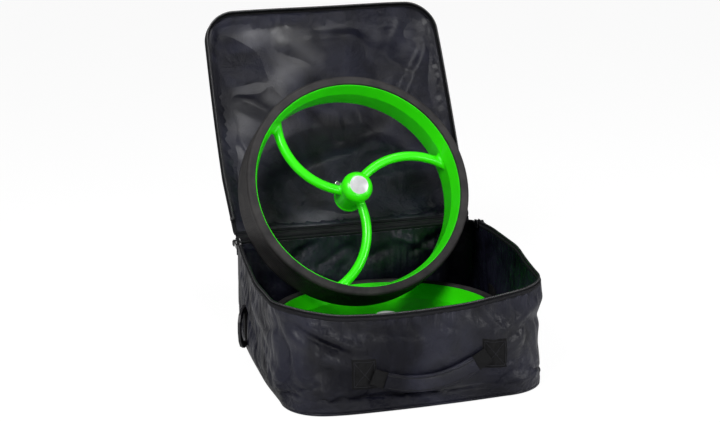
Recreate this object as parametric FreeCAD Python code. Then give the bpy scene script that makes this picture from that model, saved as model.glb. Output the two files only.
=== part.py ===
import FreeCAD, Part
import math
import os

from FreeCAD import Vector, Rotation, Placement

# Two three-arm trolley wheels with quick-release hubs in a zip-up nylon bag.
# Millimetres. X to the right, Y to the back, Z up, the bag standing on Z = 0.

# Bag body
BAG_W = 316.0
BAG_D = 314.0
WALL_T = 3.0
BASE_T = 5.0
WALL_TOP = 124.0
FRONT_R = 40.0
BACK_R = 12.0
BACK_SEAM_Y = 141.0
BINDING_OVER = 1.0
BINDING_DEEP = 5.0
BINDING_TOP = 125.5

# Zip
TAPE_T = 1.0
COIL_T = 2.6
BODY_COIL_LOW = 131.6
BODY_COIL_TOP = 134.0
LID_COIL_LOW = 137.0
LID_COIL_TOP = 139.4
ZIP_END_Y = 136.0
STOP_LONG = 4.0

# Lid, drawn closed and then turned back about the hinge line
LID_LOW = 146.0
LID_T = 3.0
LID_BINDING_LOW = 144.8
LID_BINDING_TOP = 150.2
HINGE_Y = 161.5
HINGE_Z = 135.5
HINGE_CORD_R = 1.3
HINGE_HALF = 143.0
LID_OPEN = 124.6

# Zip sliders and pulls
SLIDER_Y = 124.0
SLIDER_LONG = 12.0
SLIDER_LOW = 130.4
SLIDER_HIGH = 139.6
SLIDER_GAP = 1.9
SLIDER_PLATE = 1.2
SLIDER_POST_LOW = 134.4
SLIDER_POST_HIGH = 136.6
PULL_PIN_R = 1.0
PULL_PLAY = 0.06
PULL_LONG = 22.0

# Front handle
PATCH_W = 28.0
PATCH_H = 34.0
PATCH_T = 1.6
PATCH_LEFT_X = -63.5
PATCH_LEFT_LOW = 28.0
PATCH_RIGHT_X = 89.5
PATCH_RIGHT_LOW = 37.0
WEB_T = 2.0
GRIP_TALL = 22.0
GRIP_THICK = 8.0
HANDLE_LEFT_Z = 41.0
HANDLE_LOW_X = 10.0
HANDLE_LOW_Z = 29.0
HANDLE_RIGHT_Z = 53.0
HANDLE_Y = -165.2

# Side rings
RING_Y = 58.0
RING_LOW = 22.0
RING_HIGH = 72.0
RING_OUT = 30.5
RING_BAR_R = 2.0
RING_T = 3.0
RING_BAND = 6.2
RING_FORWARD = 65.0
RING_PLAY = 0.06
TAB_LOW = 29.0
TAB_HIGH = 65.0
TAB_BACK = 28.0
TAB_T = 1.6

# Wheel
TYRE_R = 145.0
TYRE_W = 60.0
TYRE_SEAT_R = 133.2
TYRE_LIP_R = 134.4
TYRE_SHOULDER = 4.0
TREAD_GROOVES = 9
TREAD_PITCH = 5.0
TREAD_DEEP = 0.7
RIM_FRONT_R = 132.5
RIM_FRONT_T = 27.6
RIM_RIDGE_R = 127.7
RIM_RIDGE_T = 8.0
RIM_REAR_R = 130.5
RIM_WALL = 2.7
ARM_R = 6.0
ARM_ARC_R = 92.0
ARM_CX = 76.25
ARM_CY = -51.7
ARM_PLANE = -2.5
ARM_COUNT = 3
ARM_BLEND_R = 3.5
HUB_R = 18.0
HUB_REAR = -29.8
HUB_FLANGE_R = 19.0
HUB_FLANGE_T = 1.2
HUB_NOSE_R = 20.0
HUB_NOSE_T = 14.0
HUB_FRONT = 25.2
CAP_R = 12.0
CAP_BACK = 15.0
CAP_DOME = 1.6
AXLE_R = 6.0
REAR_BORE_R = 6.3
BEARING_R = 12.0
BEARING_W = 6.0
BEARING_SEAT = -15.4
FRONT_BEARING = 4.0
BALL_R = 1.15
BALL_RING_R = 9.0
BALL_COUNT = 9
CLIP_T = 1.2
CLIP_GROOVE_R = 12.8

# Quick-release plunger in the hub, measured outwards from the wheel's axis
PIN_PLANE = -21.4
PIN_ANGLE = 131.0
BOSS_R = 7.0
BOSS_OUT = 18.8
BUSH_R = 5.0
BUSH_HEAD_R = 6.2
BUSH_IN = 9.2
BUSH_OUT = 20.3
SPRING_ROOM_R = 4.0
SPRING_ROOM_OUT = 16.5
PIN_TIP_R = 2.5
PIN_TIP_IN = 5.2
PIN_FLANGE_R = 3.8
PIN_STEM_R = 2.0
PIN_PLAY = 0.05
KNOB_R = 4.6
KNOB_IN = 20.7
KNOB_OUT = 25.6
SPRING_WIRE_R = 0.3
SPRING_TURNS = 4
SPRING_STEPS = 12
SPRING_R = 3.1

# Where the two wheels are
LOWER_X = 4.0
LOWER_Y = 8.0
LOWER_Z = 35.3
LOWER_TURN = 20.0
UPPER_X = -3.1
UPPER_Y = 139.8
UPPER_Z = 186.8
UPPER_AZ = 5.18
UPPER_EL = 28.76

os.makedirs("parts", exist_ok=True)


def box(x0, x1, y0, y1, z0, z1):
    return Part.makeBox(x1 - x0, y1 - y0, z1 - z0, Vector(x0, y0, z0))


def tube(outer, inner, low, high):
    body = Part.makeCylinder(outer, high - low, Vector(0, 0, low))
    return body.cut(Part.makeCylinder(inner, high - low, Vector(0, 0, low)))


def bag_outline(grow, low, high):
    """The bag's plan shape grown or shrunk, stood up between two heights."""
    x = BAG_W / 2 + grow
    y = BAG_D / 2 + grow
    rf = FRONT_R + grow
    rb = BACK_R + grow
    k = math.sqrt(0.5)

    def bend(cx, cy, r, sx, sy):
        return Vector(cx + sx * r * k, cy + sy * r * k, low)

    fl = [Vector(-x, -y + rf, low), bend(-x + rf, -y + rf, rf, -1, -1), Vector(-x + rf, -y, low)]
    fr = [Vector(x - rf, -y, low), bend(x - rf, -y + rf, rf, 1, -1), Vector(x, -y + rf, low)]
    br = [Vector(x, y - rb, low), bend(x - rb, y - rb, rb, 1, 1), Vector(x - rb, y, low)]
    bl = [Vector(-x + rb, y, low), bend(-x + rb, y - rb, rb, -1, 1), Vector(-x, y - rb, low)]
    edges = []
    corners = [fl, fr, br, bl]
    for i in range(4):
        here = corners[i]
        after = corners[(i + 1) % 4]
        edges.append(Part.Arc(here[0], here[1], here[2]).toShape())
        edges.append(Part.makeLine(here[2], after[0]))
    face = Part.Face(Part.Wire(edges))
    return face.extrude(Vector(0, 0, high - low))


def bag_ring(outside, inside, low, high):
    return bag_outline(outside, low, high).cut(bag_outline(inside, low, high))


def revolve(points):
    """Turns a closed (radius, height) outline about the Z axis."""
    wire = Part.makePolygon([Vector(r, 0, t) for r, t in points + points[:1]])
    return Part.Face(wire).revolve(Vector(0, 0, 0), Vector(0, 0, 1), 360)


def prism_along_x(points, x0, x1):
    wire = Part.makePolygon([Vector(x0, y, z) for y, z in points + points[:1]])
    return Part.Face(wire).extrude(Vector(x1 - x0, 0, 0))


def mirrored(shape):
    return shape.mirror(Vector(0, 0, 0), Vector(1, 0, 0))


def save(shape, name):
    shape.exportStep("parts/" + name + ".step")


# Bag panels: one strip round the front and sides, a back panel and a padded base

wall = bag_ring(0, -WALL_T, BASE_T, WALL_TOP)
far = 400.0
wall_wrap = wall.cut(box(-far, far, BACK_SEAM_Y, far, 0, far))
wall_back = wall.common(box(-far, far, BACK_SEAM_Y, far, 0, far))
base = bag_outline(0, 0, BASE_T)
save(wall_wrap, "bag_wall_wrap")
save(wall_back, "bag_wall_back")
save(base, "bag_base")

# Folded binding round the top of the wall
binding = bag_ring(BINDING_OVER, -WALL_T - BINDING_OVER, WALL_TOP - BINDING_DEEP, BINDING_TOP)
binding = binding.cut(wall)
save(binding, "bag_rim_binding")

# Zip: tape and coil on the bag and on the lid, both ending beside the hinge
middle = -WALL_T / 2
cut_back = box(-far, far, ZIP_END_Y, far, 0, far)
tape_body = bag_ring(middle + TAPE_T / 2, middle - TAPE_T / 2, BINDING_TOP, BODY_COIL_LOW)
tape_body = tape_body.cut(cut_back)
coil_body = bag_ring(middle + COIL_T / 2, middle - COIL_T / 2, BODY_COIL_LOW, BODY_COIL_TOP)
coil_body = coil_body.cut(cut_back)
tape_lid = bag_ring(middle + TAPE_T / 2, middle - TAPE_T / 2, LID_COIL_TOP, LID_BINDING_LOW)
tape_lid = tape_lid.cut(cut_back)
coil_lid = bag_ring(middle + COIL_T / 2, middle - COIL_T / 2, LID_COIL_LOW, LID_COIL_TOP)
coil_lid = coil_lid.cut(cut_back)
zip_x = BAG_W / 2 + middle
stop_half = COIL_T / 2 + 0.5


def zip_stop(x, low, high):
    return box(x - stop_half, x + stop_half, ZIP_END_Y, ZIP_END_Y + STOP_LONG, low, high)


stops_body = Part.makeCompound([
    zip_stop(-zip_x, BODY_COIL_LOW, BODY_COIL_TOP),
    zip_stop(zip_x, BODY_COIL_LOW, BODY_COIL_TOP),
])
stops_lid = Part.makeCompound([
    zip_stop(-zip_x, LID_COIL_LOW, LID_COIL_TOP),
    zip_stop(zip_x, LID_COIL_LOW, LID_COIL_TOP),
])
post_body = Part.makeCompound([
    box(-zip_x - 0.5, -zip_x + 0.5, ZIP_END_Y, ZIP_END_Y + STOP_LONG, BINDING_TOP, BODY_COIL_LOW),
    box(zip_x - 0.5, zip_x + 0.5, ZIP_END_Y, ZIP_END_Y + STOP_LONG, BINDING_TOP, BODY_COIL_LOW),
])
post_lid = Part.makeCompound([
    box(-zip_x - 0.5, -zip_x + 0.5, ZIP_END_Y, ZIP_END_Y + STOP_LONG, LID_COIL_TOP, LID_BINDING_LOW),
    box(zip_x - 0.5, zip_x + 0.5, ZIP_END_Y, ZIP_END_Y + STOP_LONG, LID_COIL_TOP, LID_BINDING_LOW),
])
tape_body = tape_body.fuse(post_body).removeSplitter()
tape_lid = tape_lid.fuse(post_lid).removeSplitter()
save(tape_body, "zip_tape_bag")
save(coil_body, "zip_coil_bag")
save(stops_body, "zip_stops_bag")

# Hinge: a fabric strip from the back wall up to a cord, and another on the lid
back_y = BAG_D / 2
strip_bag = prism_along_x([
    (back_y + 1.0, WALL_TOP - 14.0),
    (back_y + 1.0, WALL_TOP - BINDING_DEEP - 0.2),
    (back_y + 1.0, BINDING_TOP - 0.0),
    (back_y + 2.2, HINGE_Z - 3.6),
    (HINGE_Y - 1.9, HINGE_Z - 1.4),
    (HINGE_Y - 1.0, HINGE_Z - 2.2),
    (back_y + 3.0, HINGE_Z - 5.2),
    (back_y + 2.0, BINDING_TOP - 1.0),
    (back_y + 2.0, WALL_TOP - 14.0),
], -HINGE_HALF, HINGE_HALF)
strip_gap = box(-HINGE_HALF, HINGE_HALF, back_y, back_y + 1.0, WALL_TOP - 14.0, WALL_TOP - BINDING_DEEP)
strip_bag = strip_bag.fuse(strip_gap).removeSplitter()
strip_lid = prism_along_x([
    (HINGE_Y - 1.9, HINGE_Z + 1.4),
    (back_y - 1.0, LID_COIL_TOP + 1.0),
    (back_y - 1.0, LID_BINDING_LOW - 0.5),
    (back_y, LID_BINDING_LOW - 0.5),
    (back_y, LID_COIL_TOP + 1.6),
    (HINGE_Y - 1.0, HINGE_Z + 2.2),
], -HINGE_HALF, HINGE_HALF)
cord = Part.makeCylinder(HINGE_CORD_R, 2 * HINGE_HALF, Vector(-HINGE_HALF, HINGE_Y, HINGE_Z), Vector(1, 0, 0))
save(strip_bag, "hinge_strip_bag")
save(cord, "hinge_cord")

# Lid, closed, then turned open about the hinge line
lid_panel = bag_outline(0, LID_LOW, LID_LOW + LID_T)
lid_binding = bag_ring(BINDING_OVER, -WALL_T - BINDING_OVER, LID_BINDING_LOW, LID_BINDING_TOP)
lid_binding = lid_binding.cut(lid_panel)


def opened(shape):
    turned = shape.copy()
    turned.rotate(Vector(0, HINGE_Y, HINGE_Z), Vector(1, 0, 0), -LID_OPEN)
    return turned


save(opened(lid_panel), "lid_panel")
save(opened(lid_binding), "lid_binding")
save(opened(tape_lid), "zip_tape_lid")
save(opened(coil_lid), "zip_coil_lid")
save(opened(stops_lid), "zip_stops_lid")
save(opened(strip_lid), "hinge_strip_lid")

# Zip sliders: two plates over the rows, a post between the rows, a bail and a pull
s0 = SLIDER_Y - SLIDER_LONG / 2
s1 = SLIDER_Y + SLIDER_LONG / 2
plate_out = box(zip_x + SLIDER_GAP, zip_x + SLIDER_GAP + SLIDER_PLATE, s0, s1, SLIDER_LOW, SLIDER_HIGH)
plate_in = box(zip_x - SLIDER_GAP - SLIDER_PLATE, zip_x - SLIDER_GAP, s0, s1, SLIDER_LOW, SLIDER_HIGH)
post = box(zip_x - SLIDER_GAP, zip_x + SLIDER_GAP, SLIDER_Y - 1.5, SLIDER_Y + 1.5, SLIDER_POST_LOW, SLIDER_POST_HIGH)
bail_x = zip_x + SLIDER_GAP + SLIDER_PLATE + 2.6
bail_low = box(zip_x + SLIDER_GAP + SLIDER_PLATE, bail_x + 1.4, SLIDER_Y - 1.4, SLIDER_Y + 1.4, 131.0, 132.2)
bail_high = box(zip_x + SLIDER_GAP + SLIDER_PLATE, bail_x + 1.4, SLIDER_Y - 1.4, SLIDER_Y + 1.4, 137.8, 139.0)
bail_pin = Part.makeCylinder(PULL_PIN_R, 5.6, Vector(bail_x, SLIDER_Y, 132.2))
slider = plate_out.fuse([plate_in, post, bail_low, bail_high, bail_pin]).removeSplitter()
eye = Part.makeCylinder(2.2, 5.0, Vector(bail_x, SLIDER_Y, 132.5))
leaf = box(bail_x - 0.7, bail_x + 0.7, SLIDER_Y - PULL_LONG, SLIDER_Y, 132.5, 137.5)
leaf_end = Part.makeCylinder(2.5, 1.4, Vector(bail_x - 0.7, SLIDER_Y - PULL_LONG, 135.0), Vector(1, 0, 0))
pull = eye.fuse([leaf, leaf_end])
pull = pull.cut(Part.makeCylinder(PULL_PIN_R + PULL_PLAY, 12.0, Vector(bail_x, SLIDER_Y, 129.0)))
pull_hole = Part.makeCylinder(1.3, 6.0, Vector(bail_x - 3.0, SLIDER_Y - PULL_LONG + 1.0, 135.0), Vector(1, 0, 0))
pull = pull.cut(pull_hole).removeSplitter()
save(slider, "zip_slider_right")
save(mirrored(slider), "zip_slider_left")
save(pull, "zip_pull_right")
save(mirrored(pull), "zip_pull_left")

# Front handle: two box-stitched webbing patches and a sagging strap with a folded grip
front_y = -BAG_D / 2


def patch(x, low):
    return box(x - PATCH_W / 2, x + PATCH_W / 2, front_y - PATCH_T, front_y, low, low + PATCH_H)


save(patch(PATCH_LEFT_X, PATCH_LEFT_LOW), "handle_patch_left")
save(patch(PATCH_RIGHT_X, PATCH_RIGHT_LOW), "handle_patch_right")
hx0 = PATCH_LEFT_X + PATCH_W / 2 - 2.0
hx1 = PATCH_RIGHT_X - PATCH_W / 2 + 2.0
hang = Part.Arc(
    Vector(hx0, HANDLE_Y, HANDLE_LEFT_Z),
    Vector(HANDLE_LOW_X, HANDLE_Y, HANDLE_LOW_Z),
    Vector(hx1, HANDLE_Y, HANDLE_RIGHT_Z),
).toShape().Curve


def sag(x):
    """Height of the strap's middle line, a circle hung from its two ends."""
    return hang.Center.z - math.sqrt(hang.Radius ** 2 - (x - hang.Center.x) ** 2)


def strap(x0, x1, tall, thick):
    path = Part.Arc(
        Vector(x0, HANDLE_Y, sag(x0)),
        Vector(HANDLE_LOW_X, HANDLE_Y, sag(HANDLE_LOW_X)),
        Vector(x1, HANDLE_Y, sag(x1)),
    ).toShape()
    slope = path.tangentAt(path.FirstParameter)
    across = Vector(0, 1, 0)
    upward = slope.cross(across)
    upward.normalize()
    start = Vector(x0, HANDLE_Y, sag(x0))
    corners = []
    for a, b in [(-1, -1), (1, -1), (1, 1), (-1, 1)]:
        corners.append(start + across * (a * thick / 2) + upward * (b * tall / 2))
    profile = Part.makePolygon(corners + corners[:1])
    return Part.Wire([path]).makePipeShell([profile], True, False)


webbing = strap(hx0, hx1, GRIP_TALL - 3.0, WEB_T)
grip = strap(hx0 + 12.0, hx1 - 12.0, GRIP_TALL, GRIP_THICK)
grip = grip.cut(strap(hx0 - 0.0, hx1 + 0.0, GRIP_TALL - 3.0, WEB_T))
save(webbing, "handle_webbing")
save(grip, "handle_grip")

# Side rings: a flat D of moulded plastic, its straight bar in a stitched webbing tab
ring_x = -BAG_W / 2 - TAB_T - RING_BAR_R - RING_PLAY
ring_mid = (RING_LOW + RING_HIGH) / 2
ring_half = (RING_HIGH - RING_LOW) / 2


def ring_plate(out, half, thick):
    """The area inside a D with bevelled corners, stood beside the bar."""
    shape = [(0.0, half), (out - 16.5, half), (out - 6.5, half - 5.0), (out - 1.5, half - 13.0), (out, 0.0)]
    shape = shape + [(w, -z) for w, z in reversed(shape[:-1])]
    wire = Part.makePolygon([Vector(-w, thick / 2, ring_mid + z) for w, z in shape + shape[:1]])
    return Part.Face(wire).extrude(Vector(0, -thick, 0))


ring = ring_plate(RING_OUT, ring_half, RING_T)
ring = ring.cut(ring_plate(RING_OUT - RING_BAND, ring_half - RING_BAND, RING_T + 2.0))
ring = ring.fuse(Part.makeCylinder(RING_BAR_R, RING_HIGH - RING_LOW, Vector(0, 0, RING_LOW)))
ring = ring.removeSplitter()
ring.rotate(Vector(0, 0, 0), Vector(0, 0, 1), RING_FORWARD)
ring.translate(Vector(ring_x, RING_Y, 0))
loop_in = RING_BAR_R + RING_PLAY
tab_loop = Part.makeCylinder(loop_in + TAB_T, TAB_HIGH - TAB_LOW, Vector(ring_x, RING_Y, TAB_LOW))
tab_flat = box(-BAG_W / 2 - TAB_T, -BAG_W / 2, RING_Y, RING_Y + TAB_BACK, TAB_LOW, TAB_HIGH)
tab = tab_loop.fuse(tab_flat)
tab = tab.cut(Part.makeCylinder(loop_in, TAB_HIGH, Vector(ring_x, RING_Y, 0)))
tab = tab.common(box(-far, -BAG_W / 2, -far, far, 0, far)).removeSplitter()
save(ring, "side_ring_left")
save(mirrored(ring), "side_ring_right")
save(tab, "side_tab_left")
save(mirrored(tab), "side_tab_right")

# Wheel in its own frame: axis along Z, front face at +Z, middle plane at Z = 0
half = TYRE_W / 2
seat_out = RIM_FRONT_T - 2.0
seat_in = -half + 2.5
ridge_out = RIM_RIDGE_R + RIM_WALL
rim = revolve([
    (RIM_FRONT_R, RIM_FRONT_T),
    (RIM_FRONT_R - 0.9, seat_out - 1.0),
    (RIM_RIDGE_R, RIM_RIDGE_T),
    (RIM_REAR_R - 0.2, seat_in - 0.5),
    (RIM_REAR_R, -half),
    (TYRE_SEAT_R, -half),
    (TYRE_SEAT_R, seat_in),
    (ridge_out, RIM_RIDGE_T),
    (TYRE_SEAT_R, seat_out),
    (TYRE_SEAT_R, RIM_FRONT_T),
])
tyre_points = [
    (TYRE_LIP_R, half),
    (TYRE_SEAT_R, RIM_FRONT_T),
    (TYRE_SEAT_R, seat_out),
    (ridge_out, RIM_RIDGE_T),
    (TYRE_SEAT_R, seat_in),
    (TYRE_SEAT_R, -half),
]
for i in range(7):
    a = math.radians(-90 + 15 * i)
    tyre_points.append((
        TYRE_R - TYRE_SHOULDER + TYRE_SHOULDER * math.cos(a),
        -half + TYRE_SHOULDER + TYRE_SHOULDER * math.sin(a),
    ))
for i in range(TREAD_GROOVES):
    t = (i - (TREAD_GROOVES - 1) / 2) * TREAD_PITCH
    tyre_points.append((TYRE_R, t - 0.9))
    tyre_points.append((TYRE_R - TREAD_DEEP, t - 0.4))
    tyre_points.append((TYRE_R - TREAD_DEEP, t + 0.4))
    tyre_points.append((TYRE_R, t + 0.9))
for i in range(7):
    a = math.radians(15 * i)
    tyre_points.append((
        TYRE_R - TYRE_SHOULDER + TYRE_SHOULDER * math.cos(a),
        half - TYRE_SHOULDER + TYRE_SHOULDER * math.sin(a),
    ))
tyre = revolve(tyre_points)

# Hub: a barrel with a bulged nose, bored from the front for the bearings
hub_edges = [
    Part.makeLine(Vector(0, 0, HUB_REAR), Vector(HUB_FLANGE_R, 0, HUB_REAR)),
    Part.makeLine(Vector(HUB_FLANGE_R, 0, HUB_REAR), Vector(HUB_FLANGE_R, 0, HUB_REAR + HUB_FLANGE_T)),
    Part.makeLine(
        Vector(HUB_FLANGE_R, 0, HUB_REAR + HUB_FLANGE_T),
        Vector(HUB_R, 0, HUB_REAR + HUB_FLANGE_T + 2.0),
    ),
    Part.makeLine(Vector(HUB_R, 0, HUB_REAR + HUB_FLANGE_T + 2.0), Vector(HUB_R, 0, 5.0)),
    Part.Arc(Vector(HUB_R, 0, 5.0), Vector(19.5, 0, 9.4), Vector(HUB_NOSE_R, 0, HUB_NOSE_T)).toShape(),
    Part.Arc(Vector(HUB_NOSE_R, 0, HUB_NOSE_T), Vector(17.9, 0, 21.2), Vector(CAP_R, 0, HUB_FRONT)).toShape(),
    Part.makeLine(Vector(CAP_R, 0, HUB_FRONT), Vector(0, 0, HUB_FRONT)),
    Part.makeLine(Vector(0, 0, HUB_FRONT), Vector(0, 0, HUB_REAR)),
]
hub = Part.Face(Part.Wire(hub_edges)).revolve(Vector(0, 0, 0), Vector(0, 0, 1), 360)


def arm(turn):
    """One curved tube from the barrel to the rim."""
    centre = Vector(ARM_CX, ARM_CY, ARM_PLANE)

    def at(deg):
        a = math.radians(deg)
        return centre + Vector(math.cos(a), math.sin(a), 0) * ARM_ARC_R

    path = Part.Arc(at(137.0), at(95.0), at(52.0)).toShape()
    tangent = path.tangentAt(path.FirstParameter)
    profile = Part.Wire([Part.Circle(at(137.0), tangent, ARM_R).toShape()])
    solid = Part.Wire([path]).makePipeShell([profile], True, False)
    solid = solid.common(Part.makeCylinder(RIM_RIDGE_R + RIM_WALL - 0.4, 40.0, Vector(0, 0, -25.0)))
    solid.rotate(Vector(0, 0, 0), Vector(0, 0, 1), turn)
    return solid


arms = [arm(i * 360.0 / ARM_COUNT) for i in range(ARM_COUNT)]
pin_dir = Vector(math.cos(math.radians(PIN_ANGLE)), math.sin(math.radians(PIN_ANGLE)), 0)


def along_pin(r, start, end):
    base_point = Vector(0, 0, PIN_PLANE) + pin_dir * start
    return Part.makeCylinder(r, end - start, base_point, pin_dir)


boss = along_pin(BOSS_R, 8.0, BOSS_OUT)
wheel = rim.fuse(arms + [hub, boss])
wheel = wheel.removeSplitter()
blend = []
for edge in wheel.Edges:
    mid = edge.valueAt((edge.FirstParameter + edge.LastParameter) / 2)
    reach = math.hypot(mid.x, mid.y)
    if abs(mid.z - ARM_PLANE) < ARM_R + 3.0 and edge.BoundBox.ZLength > 4.0:
        if HUB_R - 1.0 < reach < HUB_R + 16.0 or RIM_RIDGE_R - 12.0 < reach < RIM_RIDGE_R + 2.0:
            if edge.Curve.TypeId in ("Part::GeomBSplineCurve", "Part::GeomEllipse"):
                blend.append(edge)
wheel = wheel.makeFillet(ARM_BLEND_R, blend)
wheel = wheel.cut(Part.makeCylinder(REAR_BORE_R, 40.0, Vector(0, 0, HUB_REAR - 5.0)))
wheel = wheel.cut(Part.makeCylinder(BEARING_R, HUB_FRONT - BEARING_SEAT, Vector(0, 0, BEARING_SEAT)))
clip_low = FRONT_BEARING + BEARING_W
wheel = wheel.cut(Part.makeCylinder(CLIP_GROOVE_R, CLIP_T, Vector(0, 0, clip_low)))
wheel = wheel.cut(along_pin(PIN_TIP_R + PIN_PLAY, 4.0, BUSH_IN + 0.5))
wheel = wheel.cut(along_pin(BUSH_R, BUSH_IN, BOSS_OUT + 4.0))
wheel = wheel.cut(along_pin(BUSH_HEAD_R + 0.1, BOSS_OUT, BOSS_OUT + 6.0))

# Bearings, the sleeve between them and the ring that keeps them in
outers = [tube(BEARING_R, BALL_RING_R + BALL_R + 0.05, t, t + BEARING_W) for t in (BEARING_SEAT, FRONT_BEARING)]
inners = [tube(BALL_RING_R - BALL_R - 0.05, AXLE_R, t, t + BEARING_W) for t in (BEARING_SEAT, FRONT_BEARING)]
balls = []
for t in (BEARING_SEAT, FRONT_BEARING):
    for i in range(BALL_COUNT):
        a = math.radians(360.0 * i / BALL_COUNT)
        spot = Vector(BALL_RING_R * math.cos(a), BALL_RING_R * math.sin(a), t + BEARING_W / 2)
        balls.append(Part.makeSphere(BALL_R, spot))
sleeve = tube(7.6, AXLE_R, BEARING_SEAT + BEARING_W, FRONT_BEARING)
clip = tube(CLIP_GROOVE_R, 10.6, clip_low, clip_low + CLIP_T)
clip = clip.cut(box(0, 20, -2.5, 2.5, clip_low - 1, clip_low + CLIP_T + 1))

# Domed cap plugged into the nose
cap = Part.makeCylinder(CAP_R, HUB_FRONT - CAP_BACK, Vector(0, 0, CAP_BACK))
dome_r = (CAP_R * CAP_R + CAP_DOME * CAP_DOME) / (2 * CAP_DOME)
dome = Part.makeSphere(dome_r, Vector(0, 0, HUB_FRONT + CAP_DOME - dome_r))
dome = dome.common(Part.makeCylinder(CAP_R, CAP_DOME + 1, Vector(0, 0, HUB_FRONT)))
cap = cap.cut(Part.makeCylinder(CAP_R - 2.0, 6.0, Vector(0, 0, CAP_BACK)))
cap = cap.fuse(dome).removeSplitter()

# Quick-release plunger: bush, pin, spring and knob
bush = along_pin(BUSH_R, BUSH_IN, BOSS_OUT).fuse(along_pin(BUSH_HEAD_R, BOSS_OUT, BUSH_OUT))
bush = bush.cut(along_pin(SPRING_ROOM_R, BUSH_IN, SPRING_ROOM_OUT))
bush = bush.cut(along_pin(PIN_STEM_R + PIN_PLAY, SPRING_ROOM_OUT, BUSH_OUT)).removeSplitter()
pin = along_pin(PIN_TIP_R, PIN_TIP_IN, 9.5)
pin = pin.fuse([along_pin(PIN_FLANGE_R, 9.5, 10.5), along_pin(PIN_STEM_R, 10.5, 23.0)]).removeSplitter()
knob = along_pin(KNOB_R, KNOB_IN, KNOB_OUT).cut(along_pin(PIN_STEM_R, KNOB_IN, 23.0))
knob_edges = [e for e in knob.Edges if abs(e.CenterOfMass.dot(pin_dir) - KNOB_OUT) < 0.01]
knob = knob.makeFillet(1.4, knob_edges)
room = SPRING_ROOM_OUT - 10.5 - 2 * SPRING_WIRE_R - 0.1
turn_points = []
for i in range(SPRING_TURNS * SPRING_STEPS + 1):
    a = 2 * math.pi * i / SPRING_STEPS
    turn_points.append(Vector(
        SPRING_R * math.cos(a),
        SPRING_R * math.sin(a),
        room * i / (SPRING_TURNS * SPRING_STEPS),
    ))
wire_end = Part.Circle(turn_points[0], turn_points[1] - turn_points[0], SPRING_WIRE_R).toShape()
coil = Part.BRepOffsetAPI.MakePipeShell(Part.makePolygon(turn_points))
coil.setTransitionMode(1)
coil.add(Part.Wire([wire_end]))
coil.build()
coil.makeSolid()
spring = coil.shape()
spring.Placement = Placement(
    Vector(0, 0, PIN_PLANE) + pin_dir * (10.5 + SPRING_WIRE_R + 0.05),
    Rotation(Vector(0, 0, 1), pin_dir),
)

wheel_pieces = {
    "tyre": tyre,
    "wheel_body": wheel,
    "hub_cap": cap,
    "bearing_outer_rings": Part.makeCompound(outers),
    "bearing_balls": Part.makeCompound(balls),
    "bearing_inner_rings": Part.makeCompound(inners),
    "axle_sleeve": sleeve,
    "bearing_clip": clip,
    "release_bush": bush,
    "release_pin": pin,
    "release_knob": knob,
    "release_spring": spring,
}

az = math.radians(UPPER_AZ)
el = math.radians(UPPER_EL)
normal = Vector(math.cos(el) * math.sin(az), -math.cos(el) * math.cos(az), math.sin(el))
side = Vector(math.cos(az), math.sin(az), 0)
up = normal.cross(side)
upper_place = Placement(Vector(UPPER_X, UPPER_Y, UPPER_Z), Rotation(side, up, normal))
lower_place = Placement(Vector(LOWER_X, LOWER_Y, LOWER_Z), Rotation(Vector(0, 0, 1), LOWER_TURN))

for name, piece in wheel_pieces.items():
    for prefix, place in (("lower_", lower_place), ("upper_", upper_place)):
        placed = piece.copy()
        placed.Placement = place.multiply(placed.Placement)
        save(placed, prefix + name)
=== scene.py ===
import math

import bpy
import numpy as np
from mathutils import Matrix, Vector


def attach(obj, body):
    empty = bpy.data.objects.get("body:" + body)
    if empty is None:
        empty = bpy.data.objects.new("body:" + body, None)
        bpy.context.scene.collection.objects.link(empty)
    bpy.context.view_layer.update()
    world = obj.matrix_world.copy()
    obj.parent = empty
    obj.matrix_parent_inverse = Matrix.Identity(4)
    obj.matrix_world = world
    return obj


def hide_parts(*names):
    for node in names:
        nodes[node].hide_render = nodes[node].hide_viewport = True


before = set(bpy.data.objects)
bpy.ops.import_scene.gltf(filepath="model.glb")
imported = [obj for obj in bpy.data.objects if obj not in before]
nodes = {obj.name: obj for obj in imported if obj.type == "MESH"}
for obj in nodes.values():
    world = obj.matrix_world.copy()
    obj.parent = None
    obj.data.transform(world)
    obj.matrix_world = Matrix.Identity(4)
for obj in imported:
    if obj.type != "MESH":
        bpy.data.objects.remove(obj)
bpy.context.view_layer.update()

# Camera and studio
# The camera stands a little to the left of the bag's front and looks down at it by about
# fourteen degrees, with a long lens. The room is white, with four broad lamps and a narrow one
# for the lid.
cam_data = bpy.data.cameras.new("studio_camera")
cam = bpy.data.objects.new("studio_camera", cam_data)
bpy.context.scene.collection.objects.link(cam)
bpy.context.scene.camera = cam
cam_turn = math.radians(-13.32)
cam_rise = math.radians(14.35)
cam_roll = math.radians(-1.37)
cam_aim = Vector((0.0, 0.0, 0.150))
cam_away = 1.97166
picture_wide = 720.0
lens_pixels = 1642.15
sensor_mm = 36.0
cam_back = Vector((
    math.sin(cam_turn) * math.cos(cam_rise),
    -math.cos(cam_turn) * math.cos(cam_rise),
    math.sin(cam_rise),
))
cam_right = Vector((math.cos(cam_turn), math.sin(cam_turn), 0.0))
cam_up = cam_back.cross(cam_right)
cam_side = cam_right * math.cos(cam_roll) + cam_up * math.sin(cam_roll)
cam_top = cam_up * math.cos(cam_roll) - cam_right * math.sin(cam_roll)
cam_turned = Matrix((cam_side, cam_top, cam_back)).transposed().to_4x4()
cam.matrix_world = Matrix.Translation(cam_aim + cam_back * cam_away) @ cam_turned
cam_data.sensor_width = sensor_mm
cam_data.lens = sensor_mm * lens_pixels / picture_wide
cam_data.shift_x = -23.0 / picture_wide
cam_data.shift_y = 33.33 / picture_wide
cam_data.clip_start = 0.05
cam_data.clip_end = 50.0

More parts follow.
